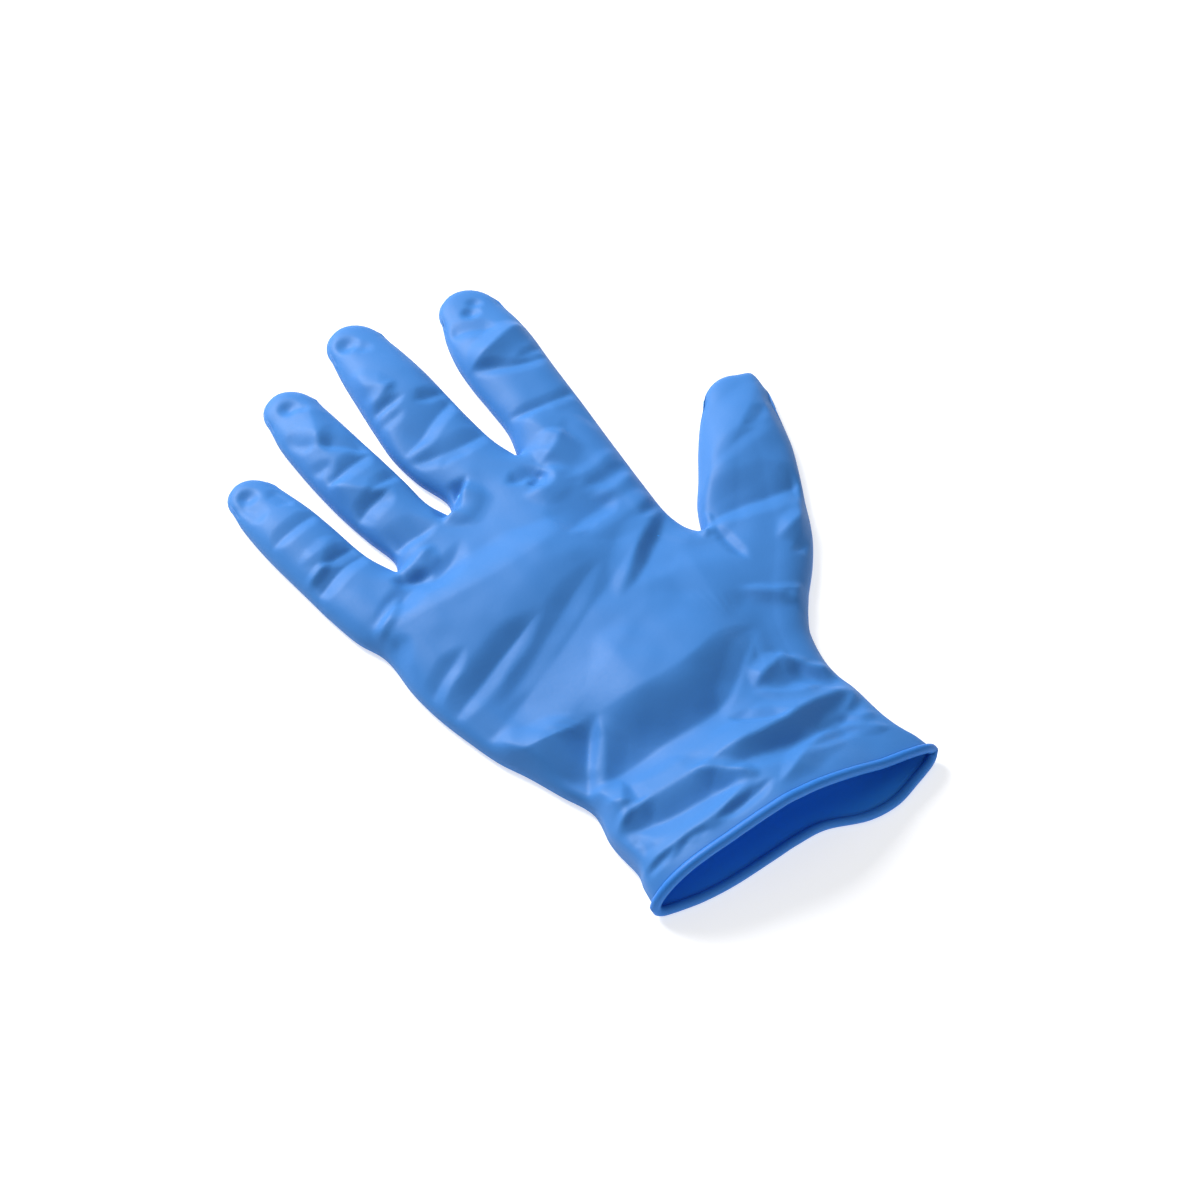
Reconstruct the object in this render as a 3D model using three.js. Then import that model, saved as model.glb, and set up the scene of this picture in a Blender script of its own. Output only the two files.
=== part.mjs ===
import * as THREE from 'three';

// A nitrile exam glove lying flat, palm film up, with its rolled cuff open.
// X runs across the hand towards the thumb, Y from the cuff to the fingertips, Z up.

// Driving sizes, in mm
const WALL = 1.0;
const BEAD_RADIUS = 1.0;
const EDGE_HEIGHT = 3.2;
const EDGE_REACH = 3.5;
const CUFF_WIDTH = 97;
const WRIST_WIDTH = 90;
const PALM_LENGTH = 150;
const KNUCKLE_SHIFT = 14.4;
const FINGER_HEIGHT = 9.0;
const SIDE_ROUNDING = 9;
const PALM_RISE = 6.5;
const PALM_CROWN_REACH = 40;
const MOUTH_HEIGHT = 21;
const MOUTH_REACH = 45;
const RIM_SWING = 7;
const FOLD_HEIGHT = 4;
const FOLD_EDGE_REACH = 6;
const FOLD_TAPER = 0.22;
const LEAST_HOLLOW = 1.5;
const LITTLE_WIDTH = 26;
const LITTLE_LENGTH = 60;
const RING_WIDTH = 26.2;
const RING_LENGTH = 80.6;
const MIDDLE_WIDTH = 29;
const MIDDLE_LENGTH = 84.3;
const INDEX_WIDTH = 28.8;
const INDEX_LENGTH = 76.3;
const THUMB_WIDTH = 32;
const THUMB_LENGTH = 80.4;

// Lean of each finger's middle line from the Y axis, in degrees, towards the thumb
const LITTLE_LEAN = -7;
const RING_LEAN = -2.8;
const MIDDLE_LEAN = -0.4;
const INDEX_LEAN = 7.1;
const THUMB_LEAN = 31.3;

// Mesh rows and columns, and the angles round the bead in degrees
const FINGER_COLUMNS = 8;
const FINGER_ROWS = 13;
const THUMB_ROWS = 13;
const WRIST_ROWS = 9;
const WEB_ROWS = 5;
const BEAD_ANGLES = [150, 95, 40, -20, -90];
const EDGE_CROWDING = 0.6;
const FOLD_STEPS = 6;

// Shares that shape the film: where the palm's crown starts, how fast the bead's lift fades behind the
// rim, how fast a finger's rows bend into its tip, and how far a finger's first section clears its root
const CROWN_START = 0.15;
const BEAD_FADE = 0.33;
const TIP_POWER = 2;
const ROOT_CLEARANCE = 0.05;

// Keeps the distance to an edge segment above zero, in mm
const LEAST_GAP = 0.05;

// Half widths that the side edges follow, with the middle that each is measured from
const KNUCKLE_WIDTH = LITTLE_WIDTH + RING_WIDTH + MIDDLE_WIDTH + INDEX_WIDTH;
const cuff = { middle: 0, half: CUFF_WIDTH / 2 };
const wrist = { middle: 0, half: WRIST_WIDTH / 2 };
const knuckle = { middle: -KNUCKLE_SHIFT, half: KNUCKLE_WIDTH / 2 };

// Side edges, from the cuff up: along is a share of PALM_LENGTH, across a share of the half width
const LITTLE_SIDE = [
  { along: 0.0, across: -0.985, of: cuff },
  { along: 0.05, across: -0.96, of: cuff },
  { along: 0.09, across: -1.0, of: wrist },
  { along: 0.175, across: -1.005, of: wrist },
  { along: 0.25, across: -0.965, of: wrist },
  { along: 0.32, across: -1.055, of: wrist },
  { along: 0.39, across: -0.675, of: knuckle },
  { along: 0.45, across: -0.75, of: knuckle },
  { along: 0.52, across: -0.805, of: knuckle },
  { along: 0.6, across: -0.855, of: knuckle },
  { along: 0.68, across: -0.88, of: knuckle },
  { along: 0.785, across: -0.88, of: knuckle },
  { along: 0.85, across: -0.945, of: knuckle },
];
const WRIST_SIDE = [
  { along: 0.0, across: 0.99, of: cuff },
  { along: 0.033, across: 0.955, of: cuff },
  { along: 0.067, across: 0.99, of: wrist },
  { along: 0.113, across: 0.962, of: wrist },
  { along: 0.213, across: 0.964, of: wrist },
  { along: 0.247, across: 0.947, of: wrist },
  { along: 0.3, across: 0.953, of: wrist },
  { along: 0.373, across: 1.02, of: wrist },
  { along: 0.413, across: 1.1, of: wrist },
];
const INDEX_SIDE = [
  { along: 0.73, across: 0.973, of: knuckle },
  { along: 0.78, across: 0.945, of: knuckle },
  { along: 0.88, across: 0.96, of: knuckle },
  { along: 0.945, across: 0.976, of: knuckle },
];

// Finger sections: along is a share of the length, left and right are shares of half the width.
// The last row is the shoulder, where the round tip starts.
const LITTLE_SECTIONS = [
  { along: 0.0, left: 0.97, right: 0.9 },
  { along: 0.15, left: 0.96, right: 0.815 },
  { along: 0.45, left: 0.945, right: 0.755 },
  { along: 0.6, left: 0.905, right: 0.72 },
  { along: 0.75, left: 0.825, right: 0.635 },
  { along: 0.84, left: 0.725, right: 0.535 },
];
const RING_SECTIONS = [
  { along: 0.0, left: 0.835, right: 0.8 },
  { along: 0.15, left: 0.96, right: 0.775 },
  { along: 0.3, left: 1.05, right: 0.745 },
  { along: 0.45, left: 1.08, right: 0.7 },
  { along: 0.6, left: 1.065, right: 0.64 },
  { along: 0.75, left: 1.005, right: 0.59 },
  { along: 0.86, left: 0.86, right: 0.545 },
];
const MIDDLE_SECTIONS = [
  { along: 0.0, left: 0.875, right: 0.92 },
  { along: 0.15, left: 1.085, right: 0.9 },
  { along: 0.3, left: 1.165, right: 0.825 },
  { along: 0.45, left: 1.09, right: 0.8 },
  { along: 0.6, left: 0.98, right: 0.775 },
  { along: 0.75, left: 0.86, right: 0.7 },
  { along: 0.86, left: 0.73, right: 0.615 },
];
const INDEX_SECTIONS = [
  { along: 0.0, left: 0.8, right: 1.03 },
  { along: 0.15, left: 0.825, right: 1.015 },
  { along: 0.3, left: 0.87, right: 0.985 },
  { along: 0.45, left: 0.94, right: 0.96 },
  { along: 0.6, left: 0.95, right: 0.95 },
  { along: 0.75, left: 0.84, right: 0.865 },
  { along: 0.84, left: 0.7, right: 0.75 },
];
const THUMB_SECTIONS = [
  { along: 0.0, left: 1.0, right: 1.095 },
  { along: 0.15, left: 0.99, right: 1.16 },
  { along: 0.3, left: 0.975, right: 1.105 },
  { along: 0.45, left: 0.905, right: 1.065 },
  { along: 0.6, left: 0.855, right: 0.985 },
  { along: 0.75, left: 0.77, right: 0.805 },
  { along: 0.84, left: 0.69, right: 0.685 },
];

// Finger roots: along is a share of PALM_LENGTH, and web is how far the crotch to the next finger
// is set back from the line between their roots, in the same share
const fingers = [
  { name: 'little', width: LITTLE_WIDTH, length: LITTLE_LENGTH, lean: LITTLE_LEAN, along: 0.953, web: 0.018,
    sections: LITTLE_SECTIONS },
  { name: 'ring', width: RING_WIDTH, length: RING_LENGTH, lean: RING_LEAN, along: 0.99, web: 0.003,
    sections: RING_SECTIONS },
  { name: 'middle', width: MIDDLE_WIDTH, length: MIDDLE_LENGTH, lean: MIDDLE_LEAN, along: 1.06, web: -0.015,
    sections: MIDDLE_SECTIONS },
  { name: 'index', width: INDEX_WIDTH, length: INDEX_LENGTH, lean: INDEX_LEAN, along: 1.072, web: 0,
    sections: INDEX_SECTIONS },
];
const THUMB_ROOT = { along: 0.575, across: 1.125, of: knuckle };
const thumb = {
  name: 'thumb', width: THUMB_WIDTH, length: THUMB_LENGTH, lean: THUMB_LEAN, sections: THUMB_SECTIONS,
};
const THUMB_WEB = { along: 0.167, across: -0.93 };
const THUMB_HEEL = { along: -0.144, across: 0.952 };

// Folds of the upper film. A path runs through places given as shares across and along: of the knuckles'
// half width and PALM_LENGTH on the palm, of the half width and the length on a finger. Rise is a share
// of FOLD_HEIGHT, below zero for a valley. Left and right are the reaches to each side of the path, as
// shares of the same half width. Sharp is 0 for a soft wave and 1 for a crease.
const FOLDS = [
  // Cuff and wrist
  { on: 'palm', path: [[-0.78, 0.12], [-0.45, 0.123], [-0.18, 0.12]],
    rise: -0.2, left: 0.13, right: 0.11, sharp: 0.3 },
  { on: 'palm', path: [[-0.4, 0.067], [-0.25, 0.083], [-0.11, 0.105]],
    rise: 0.4, left: 0.1, right: 0.08, sharp: 0.6 },
  { on: 'palm', path: [[-0.24, 0.175], [-0.16, 0.14], [-0.11, 0.105]],
    rise: 0.4, left: 0.08, right: 0.08, sharp: 0.6 },
  { on: 'palm', path: [[-0.04, 0.06], [0.15, 0.09], [0.45, 0.135], [0.8, 0.18]],
    rise: 0.35, left: 0.1, right: 0.18, sharp: 0.2 },
  { on: 'palm', path: [[-0.2, 0.133], [0.09, 0.12], [0.36, 0.147], [0.78, 0.195]],
    rise: -0.7, left: 0.14, right: 0.13, sharp: 0.5 },
  { on: 'palm', path: [[-0.28, 0.18], [0, 0.19], [0.22, 0.2], [0.5, 0.213], [0.82, 0.2]],
    rise: 0.9, left: 0.2, right: 0.15, sharp: 0.75 },
  { on: 'palm', path: [[-0.84, 0.163], [-0.64, 0.195], [-0.45, 0.187], [-0.29, 0.178]],
    rise: 0.6, left: 0.09, right: 0.16, sharp: 0.7 },
  { on: 'palm', path: [[-0.8, 0.27], [-0.62, 0.207]], rise: 0.4, left: 0.09, right: 0.12, sharp: 0.8 },
  { on: 'palm', path: [[-0.8, 0.267], [-0.36, 0.27], [0.09, 0.28], [0.29, 0.29], [0.76, 0.225]],
    rise: -0.7, left: 0.26, right: 0.18, sharp: 0.3 },
  { on: 'palm', path: [[0.07, 0.24], [0.22, 0.217], [0.38, 0.21]],
    rise: -0.35, left: 0.07, right: 0.06, sharp: 0.6 },
  { on: 'palm', path: [[0.28, 0.288], [0.44, 0.317], [0.57, 0.335]],
    rise: 0.6, left: 0.14, right: 0.12, sharp: 0.8 },
  { on: 'palm', path: [[0.55, 0.335], [0.64, 0.3], [0.77, 0.27]],
    rise: 0.5, left: 0.1, right: 0.1, sharp: 0.8 },
  { on: 'palm', path: [[-0.53, 0.408], [-0.65, 0.353], [-0.79, 0.275]],
    rise: 0.6, left: 0.11, right: 0.22, sharp: 0.8 },
  { on: 'palm', path: [[-1.02, 0.45], [-0.76, 0.43], [-0.52, 0.41]],
    rise: 0.6, left: 0.2, right: 0.3, sharp: 0.8 },
  { on: 'palm', path: [[-0.56, 0.412], [-0.18, 0.407], [0.18, 0.407], [0.44, 0.427], [0.6, 0.4]],
    rise: 1.0, left: 0.6, right: 0.36, sharp: 0.5 },
  { on: 'palm', path: [[0.5, 0.39], [0.7, 0.44], [0.87, 0.48]],
    rise: 0.5, left: 0.3, right: 0.2, sharp: 0.3 },
  // Palm
  { on: 'palm',
    path: [[-1.04, 0.473], [-0.69, 0.505], [-0.36, 0.56], [0, 0.647], [0.29, 0.693], [0.6, 0.79]],
    rise: -0.9, left: 0.29, right: 0.24, sharp: 0.5 },
  { on: 'palm', path: [[-1.07, 0.573], [-0.91, 0.607], [-0.69, 0.66]],
    rise: -0.4, left: 0.15, right: 0.1, sharp: 0.6 },
  { on: 'palm', path: [[-1.09, 0.533], [-0.76, 0.587], [-0.45, 0.64], [-0.09, 0.707]],
    rise: 0.5, left: 0.18, right: 0.22, sharp: 0.2 },
  { on: 'palm', path: [[-0.04, 0.6], [0.22, 0.657], [0.45, 0.71], [0.66, 0.77]],
    rise: 0.5, left: 0.13, right: 0.11, sharp: 0.5 },
  { on: 'palm', path: [[-0.82, 0.827], [-0.36, 0.8], [0.09, 0.827], [0.45, 0.853]],
    rise: 0.9, left: 0.45, right: 0.5, sharp: 0 },
  { on: 'palm', path: [[0.04, 0.893], [0.27, 0.927], [0.44, 0.92]],
    rise: 0.4, left: 0.18, right: 0.2, sharp: 0.2 },
  { on: 'palm', path: [[0.16, 0.78], [0.45, 0.807], [0.7, 0.83]],
    rise: -0.35, left: 0.18, right: 0.12, sharp: 0.4 },
  { on: 'palm', path: [[-1.17, 0.81], [-1.0, 0.847], [-0.85, 0.913]],
    rise: -0.5, left: 0.12, right: 0.2, sharp: 0.7 },
  { on: 'palm', path: [[-0.86, 0.925], [-0.76, 0.957], [-0.67, 0.987]],
    rise: 0.5, left: 0.07, right: 0.18, sharp: 0.8 },
  { on: 'palm', path: [[-0.39, 0.975], [-0.25, 1.01], [-0.14, 1.06]],
    rise: 0.8, left: 0.1, right: 0.2, sharp: 0.9 },
  { on: 'palm', path: [[0.28, 1.02], [0.4, 1.043], [0.5, 1.08]],
    rise: 0.5, left: 0.15, right: 0.15, sharp: 0.8 },
  { on: 'palm', path: [[0.06, 0.95], [0.16, 1.0], [0.24, 1.02]],
    rise: -0.7, left: 0.09, right: 0.09, sharp: 0.5 },
  { on: 'palm', path: [[0.0, 1.0], [0.08, 0.95], [0.2, 0.94], [0.28, 0.99]],
    rise: 0.5, left: 0.07, right: 0.14, sharp: 0.5 },
  // Fingers
  { on: 'little', path: [[-0.9, 0.13], [-0.2, 0.135], [0.7, 0.24]],
    rise: 0.3, left: 0.4, right: 0.3, sharp: 0.6 },
  { on: 'little', path: [[-0.8, 0.5], [0.35, 0.52]], rise: 0.25, left: 0.35, right: 0.25, sharp: 0.6 },
  { on: 'ring', path: [[-1.0, 0.26], [-0.28, 0.29], [0.6, 0.32]],
    rise: 0.4, left: 0.5, right: 0.6, sharp: 0.5 },
  { on: 'ring', path: [[-0.9, 0.44], [-0.3, 0.45], [0.4, 0.48]],
    rise: -0.4, left: 0.4, right: 0.3, sharp: 0.7 },
  { on: 'ring', path: [[-0.45, 0.6], [0.07, 0.68], [0.5, 0.75]],
    rise: 0.45, left: 0.6, right: 0.5, sharp: 0.6 },
  { on: 'middle', path: [[-1.1, 0.2], [-0.5, 0.18], [0.19, 0.17], [0.8, 0.19]],
    rise: -0.4, left: 0.35, right: 0.4, sharp: 0.7 },
  { on: 'middle', path: [[-1.04, 0.28], [-0.35, 0.33], [0.76, 0.45]],
    rise: -0.45, left: 0.5, right: 0.4, sharp: 0.5 },
  { on: 'middle', path: [[-0.9, 0.44], [-0.1, 0.49], [0.7, 0.54]],
    rise: 0.35, left: 0.5, right: 0.5, sharp: 0.4 },
  { on: 'middle', path: [[-1.0, 0.56], [-0.34, 0.57], [0, 0.58]],
    rise: 0.25, left: 0.3, right: 0.25, sharp: 0.6 },
  { on: 'index', path: [[-0.8, 0.18], [-0.2, 0.17], [0.5, 0.19], [0.95, 0.23]],
    rise: -0.25, left: 0.2, right: 0.3, sharp: 0.7 },
  { on: 'index', path: [[-0.9, 0.51], [-0.39, 0.47], [0.18, 0.45], [0.85, 0.49]],
    rise: -0.35, left: 0.3, right: 0.25, sharp: 0.7 },
  { on: 'index', path: [[-0.8, 0.53], [-0.27, 0.6], [0.4, 0.67]],
    rise: 0.4, left: 0.4, right: 0.35, sharp: 0.6 },
  { on: 'thumb', path: [[-0.85, 0.26], [-0.3, 0.42], [0, 0.6], [0.25, 0.85]],
    rise: 0.5, left: 0.5, right: 0.8, sharp: 0.3 },
  { on: 'thumb', path: [[-0.6, 0.2], [0.2, 0.27], [1.0, 0.41]],
    rise: -0.5, left: 0.5, right: 0.4, sharp: 0.5 },
  { on: 'thumb', path: [[0.45, 0.11], [1.05, 0.26]], rise: 0.4, left: 0.25, right: 0.4, sharp: 0.6 },
];

// Rim of the mouth: across is a share of half the cuff's width, rise a share of MOUTH_HEIGHT for the
// upper film, and forward a share of RIM_SWING for how far the lower film reaches past the cuff line
const RIM = [
  { across: -1.0, rise: 0.08, forward: 0.0 },
  { across: -0.94, rise: 0.42, forward: 0.1 },
  { across: -0.85, rise: 0.62, forward: 0.25 },
  { across: -0.7, rise: 0.76, forward: 0.42 },
  { across: -0.5, rise: 0.86, forward: 0.48 },
  { across: -0.2, rise: 0.97, forward: 0.36 },
  { across: -0.05, rise: 1.0, forward: 0.29 },
  { across: 0.15, rise: 0.92, forward: 0.34 },
  { across: 0.4, rise: 0.74, forward: 0.95 },
  { across: 0.6, rise: 0.57, forward: 1.0 },
  { across: 0.8, rise: 0.45, forward: 0.58 },
  { across: 0.93, rise: 0.3, forward: 0.25 },
  { across: 1.0, rise: 0.08, forward: 0.0 },
];

const mix = (a, b, t) => a + (b - a) * t;
const mixPoint = (p, q, t) => ({ x: mix(p.x, q.x, t), y: mix(p.y, q.y, t) });
const clamp01 = (t) => Math.min(Math.max(t, 0), 1);
const smoothstep = (t) => clamp01(t) ** 2 * (3 - 2 * clamp01(t));

// Reads one column of a table at a place between its rows, smoothly
function readTable(rows, key, column, at) {
  const last = rows.length - 1;
  if (at <= rows[0][key]) return rows[0][column];
  if (at >= rows[last][key]) return rows[last][column];
  const next = rows.findIndex((row) => row[key] > at);
  const low = rows[next - 1];
  const high = rows[next];
  const slope = (before, after) => (after[column] - before[column]) / (after[key] - before[key]);
  const span = high[key] - low[key];
  const lowSlope = span * slope(rows[Math.max(next - 2, 0)], high);
  const highSlope = span * slope(low, rows[Math.min(next + 1, last)]);
  const t = (at - low[key]) / span;
  return low[column] * (2 * t ** 3 - 3 * t ** 2 + 1) + lowSlope * (t ** 3 - 2 * t ** 2 + t)
    + high[column] * (3 * t ** 2 - 2 * t ** 3) + highSlope * (t ** 3 - t ** 2);
}

// Places the roots of the four fingers side by side across the knuckles
let rootEdge = knuckle.middle - knuckle.half;
for (const finger of fingers) {
  finger.root = { x: rootEdge + finger.width / 2, y: finger.along * PALM_LENGTH };
  rootEdge += finger.width;
}
const sidePoint = (row) => ({ x: row.of.middle + row.across * row.of.half, y: row.along * PALM_LENGTH });
thumb.root = sidePoint(THUMB_ROOT);

// A place on a finger from its shares of the length and of half the width
function fingerPoint(finger, along, across) {
  const lean = THREE.MathUtils.degToRad(finger.lean);
  const forward = along * finger.length;
  const sideways = across * finger.width / 2;
  return {
    x: finger.root.x + forward * Math.sin(lean) + sideways * Math.cos(lean),
    y: finger.root.y + forward * Math.cos(lean) - sideways * Math.sin(lean),
  };
}

// A smooth curve through points of the plane
function smoothCurve(points) {
  const spatial = points.map((point) => new THREE.Vector3(point.x, point.y, 0));
  return new THREE.CatmullRomCurve3(spatial, false, 'centripetal');
}

// Corners that neighbouring patches share
const littleCorner = fingerPoint(fingers[0], 0, -LITTLE_SECTIONS[0].left);
const indexCorner = fingerPoint(fingers[3], 0, INDEX_SECTIONS[0].right);
const thumbWeb = fingerPoint(thumb, THUMB_WEB.along, THUMB_WEB.across);
const thumbHeel = fingerPoint(thumb, THUMB_HEEL.along, THUMB_HEEL.across);
const rootCorners = [littleCorner];
for (let index = 0; index < fingers.length - 1; index++) {
  const here = fingerPoint(fingers[index], 0, fingers[index].sections[0].right);
  const next = fingerPoint(fingers[index + 1], 0, -fingers[index + 1].sections[0].left);
  const crotch = mixPoint(here, next, 0.5);
  crotch.y -= fingers[index].web * PALM_LENGTH;
  rootCorners.push(crotch);
}
rootCorners.push(indexCorner);

// Column places from -1 to 1, closer together towards the side edges
const columnPlaces = [];
for (let column = 0; column <= FINGER_COLUMNS; column++) {
  const even = 2 * column / FINGER_COLUMNS - 1;
  columnPlaces.push(mix(even, Math.sin(even * Math.PI / 2), EDGE_CROWDING));
}

// Nodes of the flat plan. An edge node is where the upper and lower film meet.
const nodes = [];
function addNode(point, isEdge) {
  nodes.push({ x: point.x, y: point.y, isEdge });
  return nodes.length - 1;
}

// Palm, wrist and cuff: one patch between the two sides, the rim and the finger roots
const littleCurve = smoothCurve([...LITTLE_SIDE.map(sidePoint), littleCorner]);
const wristCurve = smoothCurve([...WRIST_SIDE.map(sidePoint), thumbHeel]);
const indexCurve = smoothCurve([thumbWeb, ...INDEX_SIDE.map(sidePoint), indexCorner]);
const heelRow = WRIST_ROWS;
const webRow = WRIST_ROWS + FINGER_COLUMNS;
const palmRows = webRow + WEB_ROWS;
const palmColumns = FINGER_COLUMNS * fingers.length;

const thumbSide = [];
for (let row = 0; row <= WRIST_ROWS; row++) thumbSide.push(wristCurve.getPointAt(row / WRIST_ROWS));
for (let row = 1; row <= FINGER_COLUMNS; row++) {
  thumbSide.push(mixPoint(thumbHeel, thumbWeb, (1 + columnPlaces[row]) / 2));
}
for (let row = 1; row <= WEB_ROWS; row++) thumbSide.push(indexCurve.getPointAt(row / WEB_ROWS));

const rowShares = [0];
for (let row = 1; row <= palmRows; row++) {
  const step = Math.hypot(thumbSide[row].x - thumbSide[row - 1].x, thumbSide[row].y - thumbSide[row - 1].y);
  rowShares.push(rowShares[row - 1] + step);
}
const sideLength = rowShares[palmRows];
for (let row = 0; row <= palmRows; row++) rowShares[row] /= sideLength;

const rootLine = [];
for (let column = 0; column <= palmColumns; column++) {
  const finger = Math.min(Math.floor(column / FINGER_COLUMNS), fingers.length - 1);
  const place = (1 + columnPlaces[column - finger * FINGER_COLUMNS]) / 2;
  rootLine.push(mixPoint(rootCorners[finger], rootCorners[finger + 1], place));
}

const rimStart = littleCurve.getPointAt(0);
const rimEnd = thumbSide[0];
const palm = [];
for (let row = 0; row <= palmRows; row++) {
  const v = rowShares[row];
  const left = littleCurve.getPointAt(v);
  const right = thumbSide[row];
  palm.push([]);
  for (let column = 0; column <= palmColumns; column++) {
    const u = column / palmColumns;
    const rim = mixPoint(rimStart, rimEnd, u);
    const root = rootLine[column];
    const point = {};
    for (const axis of ['x', 'y']) {
      const rootEnds = mix(littleCorner[axis], indexCorner[axis], u);
      const corners = mix(rim[axis], rootEnds, v);
      point[axis] = mix(rim[axis], root[axis], v) + mix(left[axis], right[axis], u) - corners;
    }
    const onThumbSide = column === palmColumns && (row <= heelRow || row >= webRow);
    const onCrotch = row === palmRows && column % FINGER_COLUMNS === 0;
    palm[row].push(addNode(point, column === 0 || onThumbSide || onCrotch));
  }
}

// A finger patch grows from its root row of nodes and bulges into a round tip
function fingerPatch(finger, rootRow, rows) {
  const sections = finger.sections;
  const shoulder = sections[sections.length - 1].along;
  const tip = (1 - shoulder) * finger.length;
  const lean = THREE.MathUtils.degToRad(finger.lean);
  const start = nodes[rootRow[0]];
  const end = nodes[rootRow[FINGER_COLUMNS]];
  const ahead = (corner, row) => {
    const away = (corner.x - finger.root.x) * Math.sin(lean) + (corner.y - finger.root.y) * Math.cos(lean);
    return row.along * finger.length > away + ROOT_CLEARANCE * finger.length;
  };
  const leftRows = sections.filter((row) => ahead(start, row));
  const rightRows = sections.filter((row) => ahead(end, row));
  const left = smoothCurve([start, ...leftRows.map((row) => fingerPoint(finger, row.along, -row.left))]);
  const right = smoothCurve([end, ...rightRows.map((row) => fingerPoint(finger, row.along, row.right))]);
  const patch = [rootRow];
  for (let row = 1; row <= rows; row++) {
    const t = row / rows;
    const leftEnd = left.getPointAt(t);
    const rightEnd = right.getPointAt(t);
    patch.push(columnPlaces.map((place, column) => {
      const point = mixPoint(leftEnd, rightEnd, (1 + place) / 2);
      const bulge = tip * t ** TIP_POWER * Math.sqrt(Math.max(1 - place ** 2, 0));
      point.x += bulge * Math.sin(lean);
      point.y += bulge * Math.cos(lean);
      return addNode(point, column === 0 || column === FINGER_COLUMNS || row === rows);
    }));
  }
  return patch;
}

const patches = [palm];
fingers.forEach((finger, index) => {
  const first = index * FINGER_COLUMNS;
  patches.push(fingerPatch(finger, palm[palmRows].slice(first, first + FINGER_COLUMNS + 1), FINGER_ROWS));
});
const thumbRoot = [];
for (let row = webRow; row >= heelRow; row--) thumbRoot.push(palm[row][palmColumns]);
patches.push(fingerPatch(thumb, thumbRoot, THUMB_ROWS));

// Segments of the side edge, which every height is measured from
const edgeSegments = [];
const addSegments = (line) => {
  for (let index = 1; index < line.length; index++) {
    edgeSegments.push([nodes[line[index - 1]], nodes[line[index]]]);
  }
};
addSegments(palm.map((row) => row[0]));
addSegments(palm.slice(0, heelRow + 1).map((row) => row[palmColumns]));
addSegments(palm.slice(webRow).map((row) => row[palmColumns]));
for (const patch of patches.slice(1)) {
  addSegments(patch.map((row) => row[0]));
  addSegments(patch.map((row) => row[FINGER_COLUMNS]));
  addSegments(patch[patch.length - 1]);
}

// A smooth distance to the side edge: the edge's pull falls with the fourth power of the distance
function edgeDistance(point) {
  let pull = 0;
  for (const [a, b] of edgeSegments) {
    const length = Math.hypot(b.x - a.x, b.y - a.y);
    const ux = (b.x - a.x) / length;
    const uy = (b.y - a.y) / length;
    const near = (a.x - point.x) * ux + (a.y - point.y) * uy;
    const far = near + length;
    const h = Math.max(Math.abs((a.x - point.x) * uy - (a.y - point.y) * ux), LEAST_GAP);
    const reach = (s) => s / (2 * h ** 2 * (h ** 2 + s ** 2)) + Math.atan(s / h) / (2 * h ** 3);
    pull += reach(far) - reach(near);
  }
  return (pull / (Math.PI / 2)) ** (-1 / 3);
}

// The path of each fold in the plan, as short straight steps
const folds = FOLDS.map((fold) => {
  const finger = [...fingers, thumb].find((candidate) => candidate.name === fold.on);
  const place = ([across, along]) => {
    if (finger) return fingerPoint(finger, along, across);
    return { x: across * knuckle.half, y: along * PALM_LENGTH };
  };
  const line = smoothCurve(fold.path.map(place)).getSpacedPoints(FOLD_STEPS * (fold.path.length - 1));
  return { ...fold, line, half: finger ? finger.width / 2 : knuckle.half };
});

// How much one fold lifts the film at a point
function foldLift(fold, point) {
  const steps = fold.line.length - 1;
  let nearest = { gap: Infinity };
  for (let step = 0; step < steps; step++) {
    const a = fold.line[step];
    const b = fold.line[step + 1];
    const dx = b.x - a.x;
    const dy = b.y - a.y;
    const t = clamp01(((point.x - a.x) * dx + (point.y - a.y) * dy) / (dx ** 2 + dy ** 2));
    const gap = Math.hypot(point.x - a.x - t * dx, point.y - a.y - t * dy);
    const side = dx * (point.y - a.y) - dy * (point.x - a.x);
    if (gap < nearest.gap) nearest = { gap, side, along: (step + t) / steps };
  }
  const s = nearest.gap / (fold.half * (nearest.side > 0 ? fold.left : fold.right));
  if (s >= 1) return 0;
  const taper = smoothstep(Math.min(nearest.along, 1 - nearest.along) / FOLD_TAPER);
  return fold.rise * FOLD_HEIGHT * taper * mix((1 - s ** 2) ** 2, (1 - s) ** 2, fold.sharp);
}

// Height of the upper film: a round side, a broad crown over the palm, and the open mouth
function upperHeight(point, distance) {
  const side = Math.sqrt(1 - (1 - clamp01(distance / SIDE_ROUNDING)) ** 2);
  const inward = (distance - SIDE_ROUNDING) / PALM_CROWN_REACH;
  const crown = smoothstep(inward + CROWN_START) - smoothstep(CROWN_START);
  const body = EDGE_HEIGHT / 2 + (FINGER_HEIGHT - EDGE_HEIGHT / 2) * side + PALM_RISE * Math.max(crown, 0);
  const mouth = MOUTH_HEIGHT * readTable(RIM, 'across', 'rise', point.x / cuff.half);
  const plain = mix(body, mouth, 1 - smoothstep(point.y / MOUTH_REACH));
  const lift = folds.reduce((sum, fold) => sum + foldLift(fold, point), 0);
  const least = lowerHeight(point, distance) + 2 * WALL + LEAST_HOLLOW;
  return Math.max(plain + lift * smoothstep(distance / FOLD_EDGE_REACH), least);
}

// Height of the lower film: flat on the table, lifted towards the side edges and over the bead
function lowerHeight(point, distance) {
  const edge = EDGE_HEIGHT / 2 * (1 - clamp01(distance / EDGE_REACH)) ** 2;
  const bead = (2 * BEAD_RADIUS - WALL) * (1 - smoothstep(point.y / (MOUTH_REACH * BEAD_FADE)));
  return Math.max(edge, bead);
}

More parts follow.
